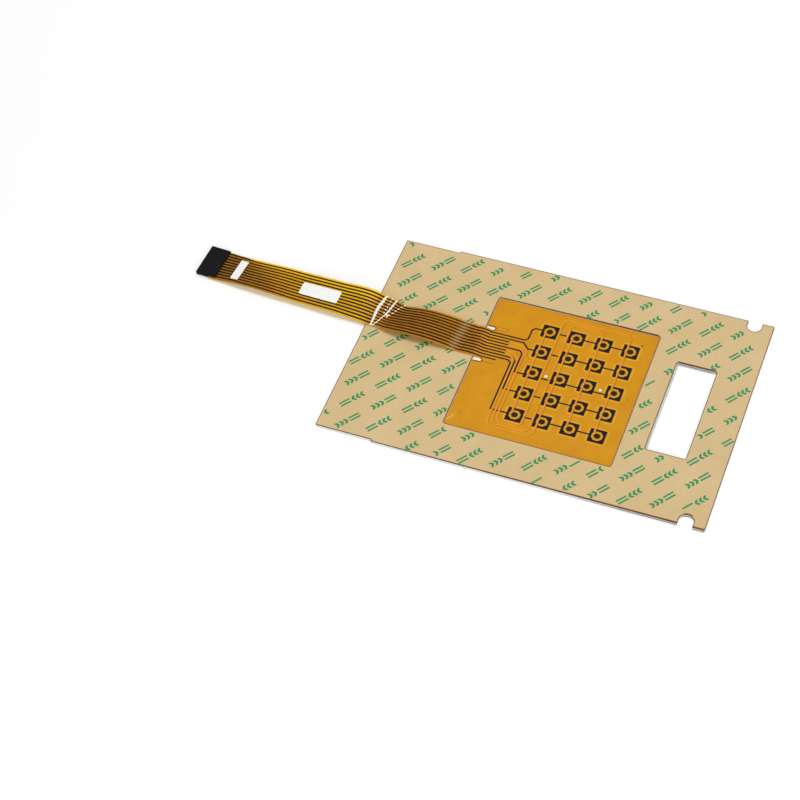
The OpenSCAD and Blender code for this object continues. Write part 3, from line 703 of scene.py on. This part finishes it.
# The white back and sides, with painted shade on the sides that face the front.
white_back_with_shade = overlay_film.mix(front_side_shade(overlay_film), linear(246, 247, 248), linear(58, 60, 64))
behind = overlay_film.ramp(overlay_film.facing("Z"), -0.8, -0.4)
overlay_film.colour(overlay_film.mix(behind, grey, white_back_with_shade)).on("graphic_overlay")
black_ink, black = printed_film("black_ink", (24, 24, 25), (34, 34, 35))
black_ink.colour(black).on("key_borders")
green_ink, green = printed_film("green_ink", (18, 138, 75), (24, 150, 83))
green_ink.colour(green).on("green_key_field")
red_ink, red = printed_film("red_ink", (208, 28, 31), (222, 36, 37))
red_ink.colour(red).on("red_key_field")

pane = Finish("clear_pane", 0.06)
pane.colour(pane.speckled(90.0, (240, 241, 241), (248, 249, 249)))
open_pane = pane.node("ShaderNodeBsdfTransparent", {"Color": (1.0, 1.0, 1.0, 1.0)}, output="BSDF")
pane.show(pane.node("ShaderNodeMixShader", {0: PANE_CLEAR, 1: pane.shader.outputs["BSDF"], 2: open_pane}))
pane.on("display_window")
print("overlay, print and window finishes made")

# %% [markdown]
# ## Connector
# The housing is moulded in black plastic with a fine spark-eroded texture. The terminals inside it are
# tinned strip.

# %% Finish of the connector and its terminals
housing = Finish("housing_plastic", 0.5, Specular_IOR_Level=0.05)
housing.colour(housing.speckled(260.0, (13, 13, 15), (20, 20, 22)))
housing.rough(housing.ramp(housing.noise(500.0), 0.3, 0.7, 0.38, 0.54))
housing.bump(housing.noise(1400.0, 2.0), 0.2, 0.00006)
housing.on("connector_housing")

tinned = Finish("terminal_metal", 0.28, Metallic=1.0)
tinned.colour(tinned.speckled(500.0, (196, 192, 182), (220, 217, 208)))
tinned.on(*[f"terminal_{n}" for n in range(1, 11)])
print("connector finishes made")

# %% [markdown]
# ## Print on the liner
# Release liners carry a repeated print, so that nobody mistakes them for the finished back. Here it is a
# plain peel mark: three chevrons and two dashes in green, turned round in every other row. Each is a thin
# closed slab on the paper. All are worked out at once, and those that would run over an edge, the window
# or the circuit are dropped.

# %% Make the liner's print
LINER_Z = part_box("release_liner")[1].z
PRINT_TURN, ROW_PITCH, MARK_PITCH, ROW_STAGGER = math.radians(-38), 14.0, 28.0, 0.43
PRINT_RISE, MARK_RISE, SINK = 0.015 * MM, 0.012 * MM, 0.01 * MM


def slabs(corners, z, rise):
    """Thin closed slabs from corners (count, sides, 2) in mm: each outline raised over z, again sunk under
    it, and walls between."""
    count, sides = corners.shape[:2]
    flat = corners.reshape(-1, 2) * MM
    heights = (z + rise, z - SINK)
    points = np.concatenate([np.column_stack([flat, np.full(len(flat), height)]) for height in heights])
    top = sides * np.arange(count)[:, None] + np.arange(sides)
    low = top + len(flat)
    walls = np.stack([low, np.roll(low, -1, 1), np.roll(top, -1, 1), top], -1).reshape(-1, 4)
    return points, [*top, *low[:, ::-1], *walls]


def peel_marks():
    """Corners (marks, 6, 2) in mm: a chevron or a dash has six corners; five of them make a mark, which is
    repeated on a staggered lattice, turned half round in odd rows, and turned as a whole."""
    chevron = np.array([[0, -2.1], [2.0, -2.1], [3.5, 0], [2.0, 2.1], [0, 2.1], [1.5, 0]])
    dash = np.array([[0, -0.65], [4, -0.65], [8, -0.65], [8, 0.65], [4, 0.65], [0, 0.65]])
    mark = np.stack([chevron, chevron + [3.3, 0], chevron + [6.6, 0], dash + [11, -1.25], dash + [11, 1.25]])
    mark -= [9.5, 0]
    row, column = np.meshgrid(np.arange(-20, 21), np.arange(-13, 14), indexing="ij")
    place = np.stack([(column + ROW_STAGGER * row) * MARK_PITCH, row * ROW_PITCH], -1)[:, :, None, None]
    facing = np.where(row % 2, -1.0, 1.0)[:, :, None, None, None]
    c, s = math.cos(PRINT_TURN), math.sin(PRINT_TURN)
    return (place + facing * mark).reshape(-1, 6, 2) @ np.array([[c, s], [-s, c]])


WINDOW_Y, NOTCH_Y = 93, 120.3
HALF_W, HALF_W_BY_NOTCH, HALF_L = 89.0, 87.6, 133.0
CIRCUIT_X, CIRCUIT_Y = (-57.5, 60.5), (-54, 63.3)
WINDOW_CLEAR, NOTCH_CLEAR = (39.4, 14), (79, 6)
marks = peel_marks()
x, y = marks[..., 0], marks[..., 1]
on_paper = (np.abs(x) < np.where(y > WINDOW_Y, HALF_W_BY_NOTCH, HALF_W)) & (np.abs(y) < HALF_L)
off_circuit = (x < CIRCUIT_X[0]) | (x > CIRCUIT_X[1]) | (y < CIRCUIT_Y[0]) | (y > CIRCUIT_Y[1])
off_window = (np.abs(x) > WINDOW_CLEAR[0]) | (np.abs(y - WINDOW_Y) > WINDOW_CLEAR[1])
off_notch = (np.abs(x) < NOTCH_CLEAR[0]) | (np.abs(y - NOTCH_Y) > NOTCH_CLEAR[1])
kept = marks[(on_paper & off_circuit & off_window & off_notch).all(1)]
liner_print = add_piece("liner_print", *slabs(kept, LINER_Z, PRINT_RISE), "green_ink")
liner_green = Finish("liner_green", 0.55, Specular_IOR_Level=0.25)
liner_green.colour(liner_green.speckled(1800.0, (14, 130, 74), (54, 150, 94), 2.0, (0.42, 0.62)))
liner_green.on(liner_print)
print("print:", len(kept), "slabs on the liner")

# %% [markdown]
# ## The liner's brown border
# Along its cut edge the liner gets a brown border, painted for the adhesive's edge and the shade beside
# it, and wider along the front towards the window end. The border is found from the solid's own mesh: an
# edge that belongs to only one triangle of the upper face lies on an outline. Each such edge becomes a
# thin slab that reaches about a millimetre inwards at most.

# %% Make the painted brown border
BORDER_W, FRONT_BORDER_W, FRONT_SPAN = 0.5, 1.25, (-40.0, 85.0)
liner_points, triangles = welded("release_liner", 6)
upper = triangles[(liner_points[triangles][..., 2] > LINER_Z - SINK).all(1)]
edges = np.concatenate([upper[:, [0, 1]], upper[:, [1, 2]], upper[:, [2, 0]]])
_, first, uses = np.unique(np.sort(edges, 1), axis=0, return_index=True, return_counts=True)
rim = liner_points[edges[first[uses == 1]]][..., :2] / MM
inward = np.stack([rim[:, 0, 1] - rim[:, 1, 1], rim[:, 1, 0] - rim[:, 0, 0]], -1)
inward /= np.linalg.norm(inward, axis=1, keepdims=True)
front_reach = np.interp(rim[..., 1], FRONT_SPAN, (BORDER_W, FRONT_BORDER_W))
inner = rim + inward[:, None] * np.where(inward[:, :1] < -0.9, front_reach, BORDER_W)[..., None]
border = np.stack([rim[:, 0], rim[:, 1], inner[:, 1], inner[:, 0]], 1)
# A brown border painted along the cut edge: partly the adhesive's edge, partly painted shade.
liner_edge_and_shade = add_piece("liner_edge_and_shade", *slabs(border, LINER_Z, MARK_RISE), "mounting_adhesive")
edge_shade_brown = Finish("edge_shade_brown", 0.55, Specular_IOR_Level=0.2)
edge_shade_brown.colour(edge_shade_brown.speckled(240.0, (98, 56, 15), (130, 80, 31))).on(liner_edge_and_shade)
print("shaded border:", len(border), "slabs")

# %% [markdown]
# ## Marks on the circuit film
# The film carries a few fine marks: thin etched lines and brown rims beside the relief slots, one dark
# dot, and a pale scratch near a corner. Each line is a row of narrow slabs, so one helper turns any bent
# line into corners.

# %% Make the film's marks
FILM_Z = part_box("flex_circuit")[1].z
TAIL_X, SLOT_X, SLOT_Y, SLOT_START, SLOT_RIM_R = -14.5, 14.65, -48.35, -52.9, 1.7
SLOT_RIM_W, ETCH_W, SCRATCH_W = 1.05, 0.32, 0.5
DOT_PLACE, DOT_R = np.array([-45.8, 52.8]), 0.75
half_turn = np.linspace(0, np.pi, 9)
slot_rim = np.column_stack([np.append(SLOT_RIM_R, SLOT_RIM_R * np.cos(half_turn)),
                            np.append(SLOT_START, SLOT_Y + SLOT_RIM_R * np.sin(half_turn))])
slot_rims = [slot_rim * [side, 1] + [TAIL_X + side * SLOT_X, 0] for side in (-1, 1)]
etched = [[(-31.5, -46.5), (-31.5, -38.1), (-29.35, -38.5)], [(-28.2, -46.4), (-28.7, -38.8)],
          [(0.9, -46.6), (0.9, -38.6)]]
scratch = [[(55.3, -52.2), (53.2, -50.6), (50.6, -49.5)]]


def narrow(lines, width):
    """Corners (stretches, 6, 2): each stretch of each bent line widened to both sides, with its two middles
    as corners."""
    ends = np.concatenate([np.stack([np.array(line)[:-1], np.array(line)[1:]], 1) for line in lines])
    a, b = ends[:, 0], ends[:, 1]
    aside = np.column_stack([a[:, 1] - b[:, 1], b[:, 0] - a[:, 0]])
    aside *= width / 2 / np.linalg.norm(b - a, axis=1)[:, None]
    middle = (a + b) / 2
    return np.stack([a - aside, middle - aside, b - aside, b + aside, middle + aside, a + aside], 1)


sixths = np.arange(6) * np.pi / 3
dot = DOT_PLACE + DOT_R * np.column_stack([np.cos(sixths), np.sin(sixths)])
brown_corners = np.concatenate([narrow(etched, ETCH_W), narrow(slot_rims, SLOT_RIM_W)])
film_marks = add_piece("film_marks", *slabs(brown_corners, FILM_Z, MARK_RISE), "carbon_ink")
film_dot = add_piece("film_dot", *slabs(dot[None], FILM_Z, MARK_RISE), "red_ink")
pale_corners = narrow(scratch, SCRATCH_W)
film_scratch = add_piece("film_scratch", *slabs(pale_corners, FILM_Z, MARK_RISE), "label_paper")
etch_brown = Finish("etched_brown", 0.4, Specular_IOR_Level=0.1)
etch_brown.colour(etch_brown.speckled(600.0, (132, 70, 8), (150, 86, 14))).on(film_marks)
dot_red = Finish("dot_red", 0.45, Specular_IOR_Level=0.1)
dot_red.colour(dot_red.speckled(900.0, (92, 20, 8), (118, 30, 12))).on(film_dot)
scratch_pale = Finish("scratch_pale", 0.5)
scratch_pale.colour(scratch_pale.speckled(900.0, (222, 176, 92), (238, 206, 140))).on(film_scratch)
print("film marks:", len(brown_corners), "slabs, a dot and a scratch")

# %% [markdown]
# ## Lettering of the keys
# The front face lies on the table. Its keys carry plain words and numbers. Blender's text becomes a mesh
# first, then each letter is mirrored in X and laid just under the printed face, so that it reads correctly
# from the front.

# %% Letter the keys
CAP_SHARE, LETTER_RISE = 0.7, 0.012
WORD_H, NUMBER_H, ASIDE = 2.4, 5.2, 3.4


def lettering(words):
    """Points and faces of words (text, x, y, height) in mm on the front face: each text's outline,
    mirrored, at z = 0."""
    all_points, all_faces, count = [], [], 0
    for text, x, y, height in words:
        curve = bpy.data.curves.new("word", "FONT")
        curve.body, curve.size = text, height / CAP_SHARE
        curve.align_x, curve.align_y = "CENTER", "CENTER"
        curve.extrude, curve.resolution_u = LETTER_RISE, 3
        word = bpy.data.objects.new("word", curve)
        mesh = bpy.data.meshes.new_from_object(word)
        co = np.empty(3 * len(mesh.vertices), np.float32)
        mesh.vertices.foreach_get("co", co)
        co = co.reshape(-1, 3) * np.array([-1, 1, 1]) + np.array([x, y, 0])
        all_faces += [[count + i for i in reversed(f.vertices[:])] for f in mesh.polygons]
        all_points.append(co * MM)
        count += len(co)
        bpy.data.objects.remove(word)
        bpy.data.meshes.remove(mesh)
        bpy.data.curves.remove(curve)
    return np.concatenate(all_points), all_faces


key_x = [KEY_PITCH * (c - 2) for c in range(5)]
key_y = [KEY_BLOCK_Y + KEY_PITCH * (1.5 - r) for r in range(4)]
number_keys = [("3", "2", "1"), ("6", "5", "4"), ("9>", "8", "<7"), ("CLEAR", "0", "ENTER")]
dark_words = [(text, key_x[2 + c], key_y[r], WORD_H if len(text) > 2 else NUMBER_H)
              for r, texts in enumerate(number_keys) for c, text in enumerate(texts)]
dark_words += [(f"F{r + 1}", key_x[1] + ASIDE, key_y[r] + ASIDE, 3.0) for r in range(4)]
light_words = [(text, key_x[0], key_y[r], WORD_H) for r, text in enumerate(("OPEN", "CLOSE", "SET", "READ"))]
light_words += [("-", key_x[1] - ASIDE, key_y[2] - 3.2, 4.0), (".", key_x[1] - ASIDE, key_y[3] - 3.2, 4.0)]
light_words += [("^", key_x[0], key_y[2] + 3.6, 3.0), ("v", key_x[0], key_y[3] - 4.0, 2.6)]
dark_lettering = add_piece("dark_lettering", *lettering(dark_words), "black_ink")
light_lettering = add_piece("light_lettering", *lettering(light_words), "label_paper")
black_ink.on(dark_lettering)
white_ink, white = printed_film("white_ink", (228, 228, 226), (240, 240, 238), 0.5)
white_ink.colour(white).on(light_lettering)
print("lettering:", len(dark_words), "dark and", len(light_words), "light words")

# %% [markdown]
# ## The table
# The keypad lies on a plain white table. To the camera, and in reflections, the table glows a little, and
# more so far away, so that it stays white up to the horizon. The glow gives no light of its own to the
# object, and the table keeps the object's shadow.

# %% Floor
FLOOR_Z, FLOOR_HALF = -0.02 * MM, 6
GLOW_NEAR, GLOW_FAR, GLOW_FROM, GLOW_TO = 0.085, 0.55, 0.6, 2.2
floor_points = FLOOR_HALF * np.array([[-1, -1, 0], [1, -1, 0], [1, 1, 0], [-1, 1, 0]]) + [0, 0, FLOOR_Z]
floor_mesh = bpy.data.meshes.new("table_top")
floor_mesh.from_pydata(floor_points.tolist(), [], [(0, 1, 2, 3)])
floor = bpy.data.objects.new("table_top", floor_mesh)
bpy.context.scene.collection.objects.link(floor)


def seen_rays(tree):
    """1 for rays from the camera, from a mirror and through glass, and 0 for rays that carry light."""
    rays = tree.nodes.new("ShaderNodeLightPath").outputs
    seen = rays["Is Camera Ray"]
    for kind in ("Is Glossy Ray", "Is Transmission Ray"):
        either = tree.nodes.new("ShaderNodeMath")
        either.operation = "MAXIMUM"
        tree.links.new(seen, either.inputs[0])
        tree.links.new(rays[kind], either.inputs[1])
        seen = either.outputs["Value"]
    return seen


table_white = Finish("table_white", 0.7)
table_white.colour(table_white.mix(table_white.noise(3.0), linear(244, 244, 244), linear(248, 248, 248)))
away = table_white.node("ShaderNodeVectorMath", {0: table_white.object}, output="Value", operation="LENGTH")
glow = table_white.math("MULTIPLY", seen_rays(table_white.tree),
                        table_white.ramp(away, GLOW_FROM, GLOW_TO, GLOW_NEAR, GLOW_FAR))
glow = table_white.node("ShaderNodeEmission", {"Strength": glow})
table_white.show(table_white.node("ShaderNodeAddShader", {0: table_white.shader.outputs["BSDF"], 1: glow}))
table_white.on(floor)
print("floor at", FLOOR_Z / MM, "mm")

# %% [markdown]
# ## The light
# The world gives an even fill and is white where it is seen or mirrored. One large area lamp behind gives
# the direction, and a weak one in front lights the cut edges. Together they light a colour to about the
# level at which it is written.

# %% World and lamps
SKY_LIGHT, SKY_SEEN = 0.5, 1.0
scene = bpy.context.scene
scene.view_settings.view_transform = "Standard"
scene.world = bpy.data.worlds.new("soft_studio")
scene.world.use_nodes = True
sky = scene.world.node_tree
backdrop = sky.nodes["Background"]
backdrop.inputs["Color"].default_value = (1.0, 1.0, 1.0, 1.0)
sky_level = sky.nodes.new("ShaderNodeMapRange")
sky_level.inputs["To Min"].default_value = SKY_LIGHT
sky_level.inputs["To Max"].default_value = SKY_SEEN
sky.links.new(seen_rays(sky), sky_level.inputs["Value"])
sky.links.new(sky_level.outputs["Result"], backdrop.inputs["Strength"])


def area_lamp(name, place, target, size, power):
    """Square soft lamp at place (metres), aimed at target: its -Z axis runs along the line between them."""
    lamp = bpy.data.objects.new(name, bpy.data.lights.new(name, "AREA"))
    scene.collection.objects.link(lamp)
    lamp.data.size, lamp.data.energy = size, power
    back = np.array(place, float) - np.array(target, float)
    back /= np.linalg.norm(back)
    right = np.cross([0, 1, 0.001], back)
    right /= np.linalg.norm(right)
    lamp.matrix_world = placing(right, np.cross(back, right), back, place)


area_lamp("back_softbox", (-0.6, -0.15, 2.2), (0, -0.05, 0), size=0.9, power=23.0)
area_lamp("front_fill", (1.3, 0.5, 0.7), (0, -0.05, 0), size=1.0, power=6.0)
print("world at", SKY_LIGHT, "and white where it is seen, one softbox and a front fill")
